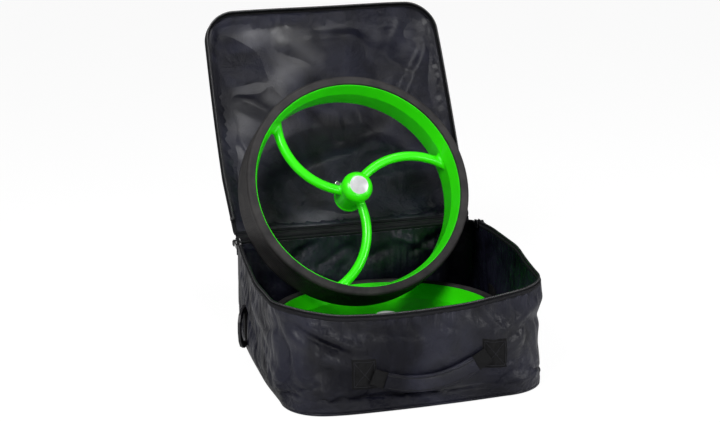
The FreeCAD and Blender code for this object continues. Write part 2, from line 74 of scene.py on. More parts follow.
scene = bpy.context.scene
scene.view_settings.view_transform = "Standard"
world = bpy.data.worlds.new("white_room")
scene.world = world
world.use_nodes = True
sky = world.node_tree
sky.nodes.clear()
seen = sky.nodes.new("ShaderNodeLightPath")
room = sky.nodes.new("ShaderNodeBackground")
room.inputs["Color"].default_value = (1.0, 1.0, 1.0, 1.0)
room.inputs["Strength"].default_value = 0.16
shown = sky.nodes.new("ShaderNodeBackground")
shown.inputs["Color"].default_value = (1.0, 1.0, 1.0, 1.0)
shown.inputs["Strength"].default_value = 1.0
either = sky.nodes.new("ShaderNodeMath")
either.operation = "MAXIMUM"
sky.links.new(seen.outputs["Is Camera Ray"], either.inputs[0])
sky.links.new(seen.outputs["Is Transmission Ray"], either.inputs[1])
pick = sky.nodes.new("ShaderNodeMixShader")
sky.links.new(either.outputs[0], pick.inputs[0])
sky.links.new(room.outputs[0], pick.inputs[1])
sky.links.new(shown.outputs[0], pick.inputs[2])
sky_out = sky.nodes.new("ShaderNodeOutputWorld")
sky.links.new(pick.outputs[0], sky_out.inputs["Surface"])


def softbox(name, place, aim, width, height, power):
    """A rectangular lamp at a place, turned to face a point."""
    data = bpy.data.lights.new(name, "AREA")
    data.shape = "RECTANGLE"
    data.size = width
    data.size_y = height
    data.energy = power
    lamp = bpy.data.objects.new(name, data)
    scene.collection.objects.link(lamp)
    lamp.location = place
    lamp.rotation_mode = "QUATERNION"
    lamp.rotation_quaternion = (Vector(place) - Vector(aim)).to_track_quat("Z", "Y")


softbox("key_lamp", (-1.2, -1.4, 1.8), (0.0, 0.0, 0.15), 0.9, 0.9, 42.0)
softbox("right_lamp", (1.7, -1.2, 0.9), (0.0, 0.0, 0.12), 0.5, 1.3, 17.0)
softbox("front_lamp", (0.35, -2.0, 0.3), (0.0, 0.1, 0.3), 0.8, 0.4, 7.0)
softbox("top_lamp", (0.3, -0.2, 2.1), (0.0, 0.1, 0.1), 0.9, 0.7, 9.0)
beam_data = bpy.data.lights.new("lid_lamp", "SPOT")
beam_data.energy = 54.0
beam_data.shadow_soft_size = 0.16
beam_data.spot_size = math.radians(13.5)
beam_data.spot_blend = 0.75
beam = bpy.data.objects.new("lid_lamp", beam_data)
scene.collection.objects.link(beam)
beam_aim = Vector((-0.10, 0.35, 0.40))
beam.location = (0.12, -0.62, 2.0)
beam.rotation_mode = "QUATERNION"
beam.rotation_quaternion = (beam.location - beam_aim).to_track_quat("Z", "Y")

# Floor
# A plain pale sheet of board under the bag, wide enough to fill the view and to keep the
# soft shadow under the walls.


class Wire:
    """A socket of a finish, so that heights and masks are written as sums."""

    def __init__(self, finish, socket):
        self.finish = finish
        self.socket = socket

    def maths(self, operation, first, second):
        return self.finish.node("ShaderNodeMath", {"operation": operation}, {0: first, 1: second})

    def __add__(self, other):
        return self.maths("ADD", self, other)

    def __sub__(self, other):
        return self.maths("SUBTRACT", self, other)

    def __rsub__(self, other):
        return self.maths("SUBTRACT", other, self)

    def __mul__(self, other):
        return self.maths("MULTIPLY", self, other)

    __radd__ = __add__
    __rmul__ = __mul__


class Finish:
    """One surface material, with the nodes that feed it."""

    def __init__(self, name, sockets):
        self.material = bpy.data.materials.new(name)
        self.material.use_nodes = True
        self.tree = self.material.node_tree
        self.tree.nodes.clear()
        self.surface = self.tree.nodes.new("ShaderNodeBsdfPrincipled")
        self.out = self.tree.nodes.new("ShaderNodeOutputMaterial")
        self.tree.links.new(self.surface.outputs[0], self.out.inputs["Surface"])
        self.feed(self.surface, sockets)

    def feed(self, target, sockets):
        """Gives a node's sockets their values or links."""
        for name, value in sockets.items():
            if isinstance(value, Wire):
                self.tree.links.new(value.socket, target.inputs[name])
            else:
                target.inputs[name].default_value = value

    def node(self, kind, settings, sockets, give=0):
        """Adds a node: its settings first, then its sockets, and gives back one of its outputs."""
        made = self.tree.nodes.new(kind)
        for name, value in settings.items():
            if name == "stops":
                ramp = made.color_ramp
                while len(ramp.elements) < len(value):
                    ramp.elements.new(0.5)
                for element, (place, colour) in zip(ramp.elements, value):
                    element.position = place
                    element.color = colour
            else:
                setattr(made, name, value)
        self.feed(made, sockets)
        return Wire(self, made.outputs[give])

    def place(self, which="Object"):
        """Where a point lies on the piece, or on its flat cut with which set to UV."""
        return self.node("ShaderNodeTexCoord", {}, {}, which)

    def noise(self, scale, detail=3.0, rough=0.55, vector=None, bend=0.0):
        sockets = {"Scale": scale, "Detail": detail, "Roughness": rough, "Distortion": bend}
        sockets["Vector"] = vector or self.place()
        return self.node("ShaderNodeTexNoise", {}, sockets)

    def stretched(self, source, scale):
        return self.node("ShaderNodeMapping", {}, {"Vector": source, "Scale": scale})

    def ramp(self, value, stops):
        return self.node("ShaderNodeValToRGB", {"stops": stops}, {0: value})

    def band(self, value, low, high):
        """0 below low, 1 above high and a straight line between them."""
        sockets = {"Value": value, "From Min": low, "From Max": high}
        return self.node("ShaderNodeMapRange", {"clamp": True}, sockets)

    def bump(self, height, distance, under=None):
        sockets = {"Height": height, "Distance": distance, "Strength": 1.0}
        if under:
            sockets["Normal"] = under
        return self.node("ShaderNodeBump", {}, sockets)


board = Finish("pale_board", {"Base Color": (0.9, 0.9, 0.9, 1.0), "Roughness": 0.9})
ray = board.node("ShaderNodeLightPath", {}, {}, "Is Camera Ray")
glow = board.node("ShaderNodeEmission", {}, {"Color": (1.0, 1.0, 1.0, 1.0), "Strength": 1.1})
plain = Wire(board, board.surface.outputs[0])
mixed = board.node("ShaderNodeMixShader", {}, {0: ray * 0.84, 1: plain, 2: glow})
board.tree.links.new(mixed.socket, board.out.inputs["Surface"])
floor_mesh = bpy.data.meshes.new("floor")
reach = 6.0
floor_z = -0.0006
floor_ends = ((-reach, -reach), (reach, -reach), (reach, reach), (-reach, reach))
floor_mesh.from_pydata([(x, y, floor_z) for x, y in floor_ends], [], [(0, 1, 2, 3)])
floor_mesh.materials.append(board.material)
floor = bpy.data.objects.new("floor", floor_mesh)
scene.collection.objects.link(floor)

# Bag walls
# Padded black nylon, one strip round the front and sides and a panel at the back, sewn to the
# base. The walls are cut a little long, so they belly out and fold between rim and base.
BAG_HALF_X = 0.158
BAG_HALF_Y = 0.157
WALL_MID = 0.0015
BASE_Z = 0.004
BINDING_Z = 0.1275
LOOP_MM = 1216.0
WALL_MM = 122.0
MM = 1000.0
RIM_FRONT_R = 0.0385
RIM_BACK_R = 0.0105
FOOT_FRONT_R = 0.046
FOOT_BACK_R = 0.014


def outline(at, half_x, half_y, front_r, back_r):
    """Points and outward directions round a rounded rectangle.

    at runs from 0 to 1 from the middle of the back, over the left side, the front and the right
    side. Corners are quarter circles, and the way between them is straight.
    """
    quarter = np.linspace(0.0, 1.0, 40)
    turns = []
    spots = []
    for cx, cy, r, start in (
        (-half_x + back_r, half_y - back_r, back_r, 90.0),
        (-half_x + front_r, -half_y + front_r, front_r, 180.0),
        (half_x - front_r, -half_y + front_r, front_r, 270.0),
        (half_x - back_r, half_y - back_r, back_r, 360.0),
    ):
        angle = np.radians(start + 90.0 * quarter)
        turns.append(angle)
        spots.append(np.stack([cx + r * np.cos(angle), cy + r * np.sin(angle)], 1))
    middle = np.array([[0.0, half_y]])
    path = np.concatenate([middle] + spots + [middle])
    angle = np.concatenate([[math.pi / 2]] + turns + [[math.pi * 2.5]])
    run = np.concatenate([[0.0], np.cumsum(np.linalg.norm(np.diff(path, axis=0), axis=1))])
    run = run / run[-1]
    x = np.interp(at, run, path[:, 0])
    y = np.interp(at, run, path[:, 1])
    a = np.interp(at, run, angle)
    return np.stack([x, y], -1), np.stack([np.cos(a), np.sin(a)], -1)


def eased(at, stops, values, width=0.012):
    """A smooth curve through stops round the loop: straight runs averaged over a short window."""
    total = 0.0
    for shift in np.linspace(-width, width, 9):
        total = total + np.interp((at + shift) % 1.0, stops, values)
    return total / 9.0


# Places round the bag from the middle of the back, in shares of the loop, and at each of them how
# far the rim lies above its sewn height, rim and foot stand out, and the foot spreads on the floor
STOPS = np.array([
    0, 165, 245, 348, 427, 458, 490, 513, 559, 605, 667, 715, 757, 789, 831, 876, 984, 1051, 1216,
]) / LOOP_MM
RIM_LIFT = np.array([
    0, 0, -3, -6, -4, -4.5, -12.5, -18.5, -21, -21, -18, -10.5, -4, -1, 4, 8.5, 7, 3, 0,
]) / MM
RIM_PUSH = np.array([0, -4, 1, 5, 2, 1, 1, 2, 3, 3, 2, 1, -1, -2, -1, 3, 4, 1, 0]) / MM
FOOT_PUSH = np.array([0, -1, 0, -1, -6, -3.5, 2, 3, 3, 3, 2, 1, 0, 2, 1, 1, 1, 0, 0]) / MM
FOOT_ROLL = np.array([0, 0, 0, 0, -1, 0, 5, 9, 9.5, 8.5, 6, 2, 0.5, 1, 0, 0, 0, 0, 0]) / MM


def rim(at, low):
    """The bag's top edge: the sewn outline at a height, sagged and pushed out."""
    flat, out = outline(at, BAG_HALF_X - WALL_MID, BAG_HALF_Y - WALL_MID, RIM_FRONT_R, RIM_BACK_R)
    spots = flat + out * eased(at, STOPS, RIM_PUSH)[..., None]
    height = (low + eased(at, STOPS, RIM_LIFT))[..., None]
    return np.concatenate([spots, height], -1), out


def skin(name, points, flat, loop_u=False, loop_v=False, caps=False):
    """A mesh of quads over a grid of points, with its flat cut in metres as its map.

    Rows run along v and columns along u. caps closes the two open ends of a tube with a face.
    """
    rows, cols = points.shape[:2]
    i, j = np.meshgrid(
        np.arange(rows if loop_v else rows - 1),
        np.arange(cols if loop_u else cols - 1),
        indexing="ij",
    )
    i = i.ravel()
    j = j.ravel()
    ring = [(i, j), (i, j + 1), (i + 1, j + 1), (i + 1, j)]
    quads = np.stack([(a % rows) * cols + b % cols for a, b in ring], 1)
    faces = quads.tolist()
    cuts = [np.stack([flat[a, b] for a, b in ring], 1).reshape(-1, 2)]
    if caps and loop_u:
        faces += [list(range(cols))[::-1], list(range((rows - 1) * cols, rows * cols))]
        cuts += [flat[0, :cols][::-1], flat[-1, :cols]]
    if caps and loop_v:
        faces += [list(range(0, rows * cols, cols)), list(range(cols - 1, rows * cols, cols))[::-1]]
        cuts += [flat[:rows, 0], flat[:rows, -1][::-1]]
    mesh = bpy.data.meshes.new(name)
    mesh.from_pydata(points.reshape(-1, 3).tolist(), [], faces)
    layer = mesh.uv_layers.new(name="cut")
    layer.data.foreach_set("uv", np.concatenate(cuts).astype(np.float32).ravel())
    mesh.shade_smooth()
    piece = bpy.data.objects.new(name, mesh)
    scene.collection.objects.link(piece)
    return piece


def corners_of(piece):
    """The piece's vertices as one array."""
    co = np.zeros(len(piece.data.vertices) * 3, np.float32)
    piece.data.vertices.foreach_get("co", co)
    return co.reshape(-1, 3).astype(float)


def set_corners(piece, co):
    """Puts an array of places into the piece's vertices."""
    piece.data.vertices.foreach_set("co", co.astype(np.float32).ravel())
    piece.data.update()


def settle(piece, hold, frames, cap, mass, swell):
    """Lets a sheet sag as cloth, held by weights, and keeps where it comes to rest.

    hold is 1 where the sheet is sewn down and 0 where it is free. cap is how far a point may
    move from where it was cut. swell makes the cloth that share larger than its frame.
    """
    start = corners_of(piece)
    group = piece.vertex_groups.new(name="sewn")
    for level in np.unique(np.round(hold, 2)):
        chosen = np.nonzero(np.round(hold, 2) == level)[0].tolist()
        if level > 0:
            group.add(chosen, float(level), "REPLACE")
    cloth = piece.modifiers.new("cloth", "CLOTH")
    cloth.settings.quality = 5
    cloth.settings.mass = mass
    cloth.settings.tension_stiffness = 25.0
    cloth.settings.compression_stiffness = 25.0
    cloth.settings.shear_stiffness = 8.0
    cloth.settings.bending_stiffness = 1.2
    cloth.settings.tension_damping = 8.0
    cloth.settings.air_damping = 3.0
    cloth.settings.vertex_group_mass = "sewn"
    cloth.settings.pin_stiffness = 1.0
    cloth.settings.shrink_min = -swell
    cloth.settings.shrink_max = -swell
    cloth.collision_settings.use_collision = False
    cloth.collision_settings.use_self_collision = False
    cloth.point_cache.frame_start = 1
    cloth.point_cache.frame_end = frames
    for step in range(1, frames + 1):
        scene.frame_set(step)
    view = bpy.context.evaluated_depsgraph_get()
    shape = piece.evaluated_get(view).to_mesh()
    co = np.zeros(len(shape.vertices) * 3, np.float32)
    shape.vertices.foreach_get("co", co)
    end = co.reshape(-1, 3).astype(float)
    piece.evaluated_get(view).to_mesh_clear()
    piece.modifiers.remove(cloth)
    piece.vertex_groups.remove(group)
    scene.frame_set(1)
    move = end - start
    size = np.linalg.norm(move, axis=1, keepdims=True)
    move = move * np.minimum(1.0, cap / np.maximum(size, 1e-9))
    set_corners(piece, start + move)


WEAVE = 0.0007


def nylon(name):
    """Black coated nylon: a fine square weave, soft creases, a satin coat, and broad patches of painted
    sheen in its base colour.
    """
    cloth = Finish(name, {"Coat Roughness": 0.3, "Specular IOR Level": 0.15})
    dark = (0.0017, 0.0018, 0.005, 1.0)
    painted_sheen_colour = (0.0108, 0.0113, 0.0215, 1.0)
    # Painted sheen: the base colour runs from near black to a lighter blue-grey in broad noise patches.
    painted_sheen = cloth.noise(11.0, 4.0, 0.55, None, 0.9)
    cloth.feed(cloth.surface, {
        "Base Color": cloth.ramp(painted_sheen, [(0.4, dark), (0.63, painted_sheen_colour)]),
        "Roughness": 0.28 + 0.18 * cloth.noise(55.0, 3.0),
        "Coat Weight": cloth.band(cloth.noise(9.0, 3.0), 0.42, 0.66) * 0.38,
    })
    cut = cloth.place("UV")
    across = cloth.node("ShaderNodeSeparateXYZ", {}, {0: cut}, 0)
    along = cloth.node("ShaderNodeSeparateXYZ", {}, {0: cut}, 1)
    turn = 2.0 * math.pi / WEAVE
    threads = cloth.node("ShaderNodeMath", {"operation": "SINE"}, {0: across * turn})
    picks = cloth.node("ShaderNodeMath", {"operation": "SINE"}, {0: along * turn})
    broad = cloth.bump(cloth.noise(9.0, 2.0, 0.5, None, 1.0), 0.012)
    soft = cloth.bump(cloth.noise(26.0, 5.0, 0.55, None, 0.8), 0.0045, broad)
    fine = cloth.bump(cloth.noise(95.0, 4.0, 0.6, None, 0.5), 0.0007, soft)
    cloth.feed(cloth.surface, {"Normal": cloth.bump(threads * picks, 0.00005, fine)})
    return cloth


def dress(piece, finish):
    """Gives a piece one finish all over."""
    piece.data.materials.clear()
    piece.data.materials.append(finish.material)


def folds(x, v, list_of_folds):
    """Sum of soft ridges: each a bell across the line between its ends, fading past them."""
    total = np.zeros_like(x)
    for x0, v0, x1, v1, width, height in list_of_folds:
        span = np.hypot(x1 - x0, v1 - v0)
        along = ((x - x0) * (x1 - x0) + (v - v0) * (v1 - v0)) / span
        off = ((x - x0) * (v1 - v0) - (v - v0) * (x1 - x0)) / span
        past = np.maximum(np.maximum(-along, along - span), 0.0)
        total = total + height * np.exp(-(off / width) ** 2 - (past / (1.6 * width)) ** 2)
    return total


# The wall's folds, in mm: place round the loop and height of one end, of the other, width, height
WALL_FOLDS = (
    (448, 22, 452, 70, 11, -4.5),
    (452, 70, 440, 104, 9, -3.5),
    (470, 104, 512, 86, 8, -4.5),
    (512, 86, 548, 72, 7, -3.0),
    (486, 106, 540, 84, 6, 3.2),
    (502, 100, 552, 66, 7, 3.4),
    (472, 88, 500, 74, 7, 2.4),
    (486, 24, 530, 26, 16, 3.0),
    (520, 12, 566, 24, 12, -2.6),
    (496, 70, 560, 52, 8, 3.4),
    (500, 52, 520, 34, 8, -3.0),
    (470, 58, 484, 20, 8, 3.2),
    (548, 104, 600, 92, 7, -3.4),
    (610, 100, 640, 58, 9, -3.2),
    (640, 62, 720, 60, 13, 3.2),
    (650, 98, 676, 76, 6, -3.0),
    (582, 58, 640, 44, 10, 2.6),
    (560, 16, 640, 12, 9, -3.0),
    (640, 20, 740, 14, 10, 2.8),
    (728, 30, 742, 70, 6, -2.8),
    (566, 30, 700, 24, 14, 2.2),
    (600, 78, 680, 84, 17, 3.2),
    (560, 86, 604, 70, 9, -2.2),
    (690, 76, 742, 98, 7, 2.6),
    (700, 62, 738, 84, 6, -2.0),
    (706, 92, 730, 70, 5, 2.0),
    (716, 40, 724, 92, 7, -1.6),
    (744, 82, 812, 84, 8, -3.4),
    (750, 104, 820, 108, 7, 1.6),
    (752, 56, 836, 60, 20, -2.6),
    (770, 20, 776, 70, 12, 2.0),
    (222, 96, 300, 70, 10, 3.0),
    (232, 78, 330, 52, 9, -2.6),
    (330, 100, 400, 78, 10, 3.4),
    (300, 40, 420, 30, 15, 3.2),
    (350, 70, 430, 96, 7, -3.0),
    (386, 60, 436, 40, 8, 2.6),
    (190, 30, 240, 60, 10, -2.4),
    (860, 60, 940, 88, 12, 3.0),
    (900, 30, 960, 60, 12, -1.6),
    (1090, 112, 1130, 96, 6, 3.2),
    (1110, 90, 1160, 112, 5, -2.8),
    (1180, 96, 1215, 84, 7, 3.4),
    (4, 100, 20, 74, 6, 1.6),
    (14, 104, 42, 88, 6, 3.2),
    (60, 112, 90, 92, 6, 3.0),
    (44, 70, 110, 82, 9, -2.6),
    (1140, 60, 1200, 52, 10, 2.4),
)


bag_nylon = nylon("bag_nylon")
around_n = 400
up_n = 50
at = np.arange(around_n) / around_n
rise = np.linspace(0.0, 1.0, up_n)


def foot_line(at, half_x, half_y):
    """The line where wall and base are sewn together, bowed out and pulled in."""
    flat, out = outline(at, half_x, half_y, FOOT_FRONT_R, FOOT_BACK_R)
    return flat + out * eased(at, STOPS, FOOT_PUSH, 0.016)[..., None]


def foot_roll(at):
    """How far the lowest fold of the cloth is spread out over the floor in front."""
    return eased(at, STOPS, FOOT_ROLL, 0.016)


foot = foot_line(at, 0.1545, 0.1555)
top, top_out = rim(at, BINDING_Z)
grid_at, grid_rise = np.meshgrid(at, rise)
foot3 = np.concatenate([foot, np.full((around_n, 1), BASE_Z)], 1)
wall_points = foot3[None] * (1.0 - grid_rise[..., None]) + top[None] * grid_rise[..., None]
# Belly: a sine up the wall, full on the flats, small at the corners and inward at the front
# right-hand one, with slow waves
flatness = eased(at, STOPS, np.array([
    0.7, 0.3, 0.8, 0.6, 0.4, 0.15, 0.3, 0.5, 0.5, 0.5, 0.5, 0.3, -0.4, -0.8, -0.6, 0.2, 0.8, 0.3, 0.7,
]), 0.02)
waves = (
    0.35 * np.sin(grid_at * 2 * math.pi * 17 + 3.0 * grid_rise)
    + 0.3 * np.sin(grid_at * 2 * math.pi * 31 - 5.0 * grid_rise + 1.0)
    + 0.25 * np.sin(grid_at * 2 * math.pi * 53 + 9.0 * grid_rise + 2.0)
)
belly = np.sin(math.pi * grid_rise) ** 0.8 * (0.0045 * flatness[None] + 0.0012 * waves)
spread = foot_roll(at)[None] * np.exp(-grid_rise * 0.123 / 0.010)
wall_points[..., :2] += top_out[None] * (belly + spread)[..., None]
cut_round = 1.19
cut_tall = 0.122
wall_cut = np.stack(np.meshgrid(np.arange(around_n + 1) / around_n * cut_round, rise * cut_tall), -1)
bag_walls = skin("bag_walls", wall_points, wall_cut, loop_u=True)
hold = np.zeros((up_n, around_n))
hold[0] = 1.0
hold[-1] = 1.0
hold[1:-1] = np.clip(0.35 - 0.35 * np.abs(flatness), 0.0, 1.0)[None]
hold[1:6] = 0.6
settle(bag_walls, hold.ravel(), 26, 0.005, 0.3, 0.03)
# Folds on the settled wall, then gathers and puckers where it is sewn to the binding
run_mm = grid_at * LOOP_MM
high_mm = grid_rise * WALL_MM
down_mm = (1.0 - grid_rise) * WALL_MM
pinned = np.clip(np.minimum(rise, 1.0 - rise) / 0.1, 0.0, 1.0)[:, None]
creased = folds(run_mm, high_mm, WALL_FOLDS) * pinned
under_rim = np.exp(-(down_mm - 6.0) ** 2 / 60.0)
strength = eased(at, STOPS, np.array([
    0.4, 0, 0.5, 0.6, 0.3, 0.2, 0.4, 0.6, 0.8, 0.9, 1.2, 1.6, 1.2, 0.6, 0.8, 0.8, 0.8, 0.2, 0.4,
]))
gather = np.sin(run_mm * 2 * math.pi / 12.0 + 1.8 * np.sin(run_mm / 17.0))
gather = gather * (0.6 + 0.4 * np.sin(run_mm / 29.0))
puckers = np.sin(run_mm * 2 * math.pi / 19.0 + 2.0 * np.sin(run_mm / 31.0) + high_mm / 9.0)
under_them = np.exp(-(down_mm - 17.0) ** 2 / 110.0)
creased = creased + strength[None] * (2.0 * under_rim * gather + 1.1 * under_them * puckers)
moved = corners_of(bag_walls)
moved[:, :2] += (top_out[None] * creased[..., None]).reshape(-1, 2) / MM
# The strap swings close to the front, so the cloth between its patches stays flat
strap_mid_x = 0.013
flat_y = -0.1585
beside = np.maximum(np.abs(moved[:, 0] - strap_mid_x) - 0.0645, 0.0)
below = np.maximum(0.020 - moved[:, 2], 0.0)
above = np.maximum(moved[:, 2] - 0.074, 0.0)
pressed = np.exp(-(beside / 0.007) ** 2 - (below / 0.005) ** 2 - (above / 0.010) ** 2)
pressed = pressed * (moved[:, 1] < -0.13)
moved[:, 1] += pressed * np.maximum(flat_y - moved[:, 1], 0.0)
set_corners(bag_walls, moved)
thick = bag_walls.modifiers.new("padding", "SOLIDIFY")
thick.thickness = 0.003
thick.offset = 0.0
dress(bag_walls, bag_nylon)
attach(bag_walls, "bag")
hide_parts("bag_wall_wrap", "bag_wall_back")

# Bag base
# A padded nylon panel with a stiff board inside, sewn to the foot of the walls. Its rings run
# from the middle of the underside out to the edge and back over the top.
base_inset = np.array([0.995, 0.6, 0.2, 0.03, 0.0, 0.0, 0.02, 0.2, 0.6, 0.995])
base_height = np.array([0.0, 0.0, 0.0, 0.0, 0.0012, 0.0036, 0.0047, 0.005, 0.005, 0.005])
base_flat = foot_line(at, 0.1555, 0.1565) + top_out * foot_roll(at)[:, None]
base_points = np.concatenate([
    base_flat[None] * (1.0 - base_inset)[:, None, None],
    np.broadcast_to(base_height[:, None, None], (len(base_inset), around_n, 1)),
], -1)
base_cut = np.concatenate([base_points[..., :2], base_points[:, :1, :2]], 1)
bag_base = skin("bag_base_panel", base_points, base_cut, loop_u=True, caps=True)
dress(bag_base, bag_nylon)
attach(bag_base, "bag")
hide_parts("bag_base")

# Rim binding, zip tape and coil of the bag
# A folded polyester binding over the raw edge of the wall, then the zip's woven tape and its
# moulded coil. They follow the sagging rim, and tape and coil stop beside the hinge.
ZIP_START = 0.142
COIL_PITCH = 0.0022
COIL_WIDE = 0.0027
COIL_TALL = 0.0024


def upright_of(path, out, loop):
    """The upright at each point of a path, square to the path and to its outward side."""
    if loop:
        along = np.roll(path, -1, 0) - np.roll(path, 1, 0)
    else:
        along = np.gradient(path, axis=0)
    along = along / np.linalg.norm(along, axis=1, keepdims=True)
    upright = np.cross(along, out)
    return upright / np.linalg.norm(upright, axis=1, keepdims=True)


def sweep(name, path, out, section, loop=False):
    """A closed section carried along a path: (outward, upward) offsets added at every point.

    The section is a ring of offsets, or one ring for each point of the path. The cut map runs
    along the path and round the section, in metres. Open ends are closed with one face.
    """
    upright = upright_of(path, out, loop)
    ring = np.asarray(section, float)
    if ring.ndim == 2:
        ring = np.broadcast_to(ring[None], (len(path),) + ring.shape)
    ring = np.transpose(ring, (1, 0, 2))
    points = path[None] + out[None] * ring[..., :1] + upright[None] * ring[..., 1:]
    step = np.linalg.norm(np.diff(np.concatenate([path, path[:1]]), axis=0), axis=1)
    run = np.concatenate([[0.0], np.cumsum(step)])
    closed_ring = np.concatenate([ring, ring[:1]], 0)
    edge = np.linalg.norm(np.diff(closed_ring, axis=0), axis=2).mean(1)
    lap = np.concatenate([[0.0], np.cumsum(edge)])
    cut = np.stack(np.meshgrid(run, lap), -1)
    return skin(name, points, cut, loop_u=loop, loop_v=True, caps=not loop)


def rounded(width, tall, bevel, steps):
    """The outline of a bar's section with rounded edges, run anticlockwise."""
    spots = []
    for sx, sy, start in ((1, 1, 0.0), (-1, 1, 90.0), (-1, -1, 180.0), (1, -1, 270.0)):
        for k in range(steps + 1):
            a = math.radians(start + 90.0 * k / steps)
            spots.append((
                sx * (width / 2 - bevel) + bevel * math.cos(a),
                sy * (tall / 2 - bevel) + bevel * math.sin(a),
            ))
    return np.array(spots)


def cloth_tape(name, colour, ribs, gloss):
    """Woven polyester tape: close ribs across it and a dull sheen."""
    tape = Finish(name, {"Base Color": colour, "Specular IOR Level": 0.22})
    cut = tape.place("UV")
    across = tape.node("ShaderNodeSeparateXYZ", {}, {0: cut}, 0)
    rib = tape.node("ShaderNodeMath", {"operation": "SINE"}, {0: across * (2.0 * math.pi / ribs)})
    worn = tape.noise(60.0, 3.0)
    tape.feed(tape.surface, {
        "Roughness": gloss + 0.2 * worn,
        "Normal": tape.bump(rib + worn, 0.00012),
    })
    return tape


binding_cloth = cloth_tape("binding_cloth", (0.004, 0.004, 0.006, 1.0), 0.0009, 0.5)
tape_cloth = cloth_tape("zip_tape_cloth", (0.005, 0.005, 0.006, 1.0), 0.0007, 0.66)
coil_black = Finish("zip_coil_black", {
    "Base Color": (0.008, 0.008, 0.01, 1.0),
    "Roughness": 0.3,
    "Specular IOR Level": 0.55,
})
rim_at = np.arange(720) / 720
rim_path, rim_out = rim(rim_at, 0.1282)
rim_out3 = np.concatenate([rim_out, np.zeros((720, 1))], 1)
bag_binding = sweep("bag_binding", rim_path, rim_out3, rounded(0.0048, 0.0044, 0.0017, 4), loop=True)
dress(bag_binding, binding_cloth)
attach(bag_binding, "bag")
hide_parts("bag_rim_binding")


def zip_run(low, samples):
    """The rim line without the back, at one height, with outward directions."""
    place = np.linspace(ZIP_START, 1.0 - ZIP_START, samples)
    path, out = rim(place, low)
    return path, np.concatenate([out, np.zeros((samples, 1))], 1)


def coil_section(path):
    """A ring that swells and shrinks along the path as a cosine, once for each turn of the coil."""
    run = np.concatenate([[0.0], np.cumsum(np.linalg.norm(np.diff(path, axis=0), axis=1))])
    beat = 0.5 + 0.5 * np.cos(2 * math.pi * run / COIL_PITCH)
    ring = rounded(COIL_WIDE, COIL_TALL, COIL_TALL * 0.42, 2)
    return ring[None] * (0.78 + 0.22 * beat)[:, None, None]


tape_path, tape_out = zip_run(0.1308, 500)
bag_tape = sweep("bag_zip_tape", tape_path, tape_out, rounded(0.001, 0.003, 0.0004, 1))
dress(bag_tape, tape_cloth)
coil_path, coil_out = zip_run(0.1328, 3400)
bag_coil = sweep("bag_zip_coil", coil_path, coil_out, coil_section(coil_path))
dress(bag_coil, coil_black)
for piece, node, kind in (
    (bag_tape, "zip_tape_bag", "binding"),
    (bag_coil, "zip_coil_bag", "zip"),
):
    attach(piece, "bag")
    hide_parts(node)

# Fabric hinge
# A doubled nylon strip on the back of the bag, a piping cord that the lid turns on, and a
# second strip from the cord to the lid. Built closed, and the lid's half turned back open.
HINGE = np.array([0.0, 0.1615, 0.1355])
HINGE_HALF = 0.1545
HINGE_CORD_R = 0.00125
HINGE_STRIP = 0.0014
LID_OPEN = math.radians(124.6)
LID_LONGER = 0.0042


def drawn(points):
    """The closed lid's points as the cloth is drawn out.

    The lid grows longer toward its free end, most in the middle, and wider on the right. On the
    left it is narrower by the hinge and a little wider beyond. The right-hand corner is rounder.
    """
    out = np.array(points, float)
    free = np.clip((0.12 - out[..., 1]) / 0.27, 0.0, 1.1)
    share = np.clip((0.157 - out[..., 1]) / 0.313, 0.0, 1.0)
    right = np.clip(out[..., 0] / 0.158, 0.0, 1.1)
    left = np.clip(-out[..., 0] / 0.158, 0.0, 1.1)
    corner = right ** 5 * share ** 7
    crown = 1.0 - np.clip(out[..., 0] / 0.16, -1.0, 1.0) ** 2
    out[..., 0] += LID_LONGER * right * free ** 0.6 - 0.0035 * corner
    near_hinge = np.clip(1.0 - 4.0 * share, 0.0, 1.0)
    out[..., 0] += left * (LID_LONGER * near_hinge - 0.0022 * np.sin(math.pi * share))
    longer = LID_LONGER + 0.0016 * right - 0.0016 * left + 0.0016 * crown
    out[..., 1] -= free ** 2 * longer - 0.0045 * corner
    return out


def opened(points):
    """Points of the closed lid turned back about the hinge line to where the lid leans."""
    y = points[..., 1] - HINGE[1]
    z = points[..., 2] - HINGE[2]
    c, s = math.cos(-LID_OPEN), math.sin(-LID_OPEN)
    return np.stack([points[..., 0], HINGE[1] + y * c - z * s, HINGE[2] + y * s + z * c], -1)


def hinge_strip(name, profile, turn):
    """A strip along the hinge: its profile in y and z, given a thickness, rippled along x."""
    profile = np.array(profile)
    fine = np.linspace(0.0, 1.0, 14)
    known = np.linspace(0.0, 1.0, len(profile))
    line = np.stack([np.interp(fine, known, profile[:, 0]), np.interp(fine, known, profile[:, 1])], 1)
    slope = np.gradient(line, axis=0)
    normal = np.stack([slope[:, 1], -slope[:, 0]], 1)
    normal = normal / np.linalg.norm(normal, axis=1, keepdims=True)
    ring = np.concatenate([line + normal * HINGE_STRIP / 2, (line - normal * HINGE_STRIP / 2)[::-1]])
    x = np.linspace(-HINGE_HALF, HINGE_HALF, 220)
    ripple = 0.00035 * np.sin(x * 260.0) * np.sin(x * 77.0 + 1.0)
    points = np.stack([
        np.broadcast_to(x[None], (len(ring), len(x))),
        ring[:, :1] + ripple[None],
        np.broadcast_to(ring[:, 1:], (len(ring), len(x))),
    ], -1)
    if turn:
        points = opened(points)
    lap = np.linspace(0.0, 0.05, len(ring) + 1)
    return skin(name, points, np.stack(np.meshgrid(x, lap), -1), loop_v=True, caps=True)


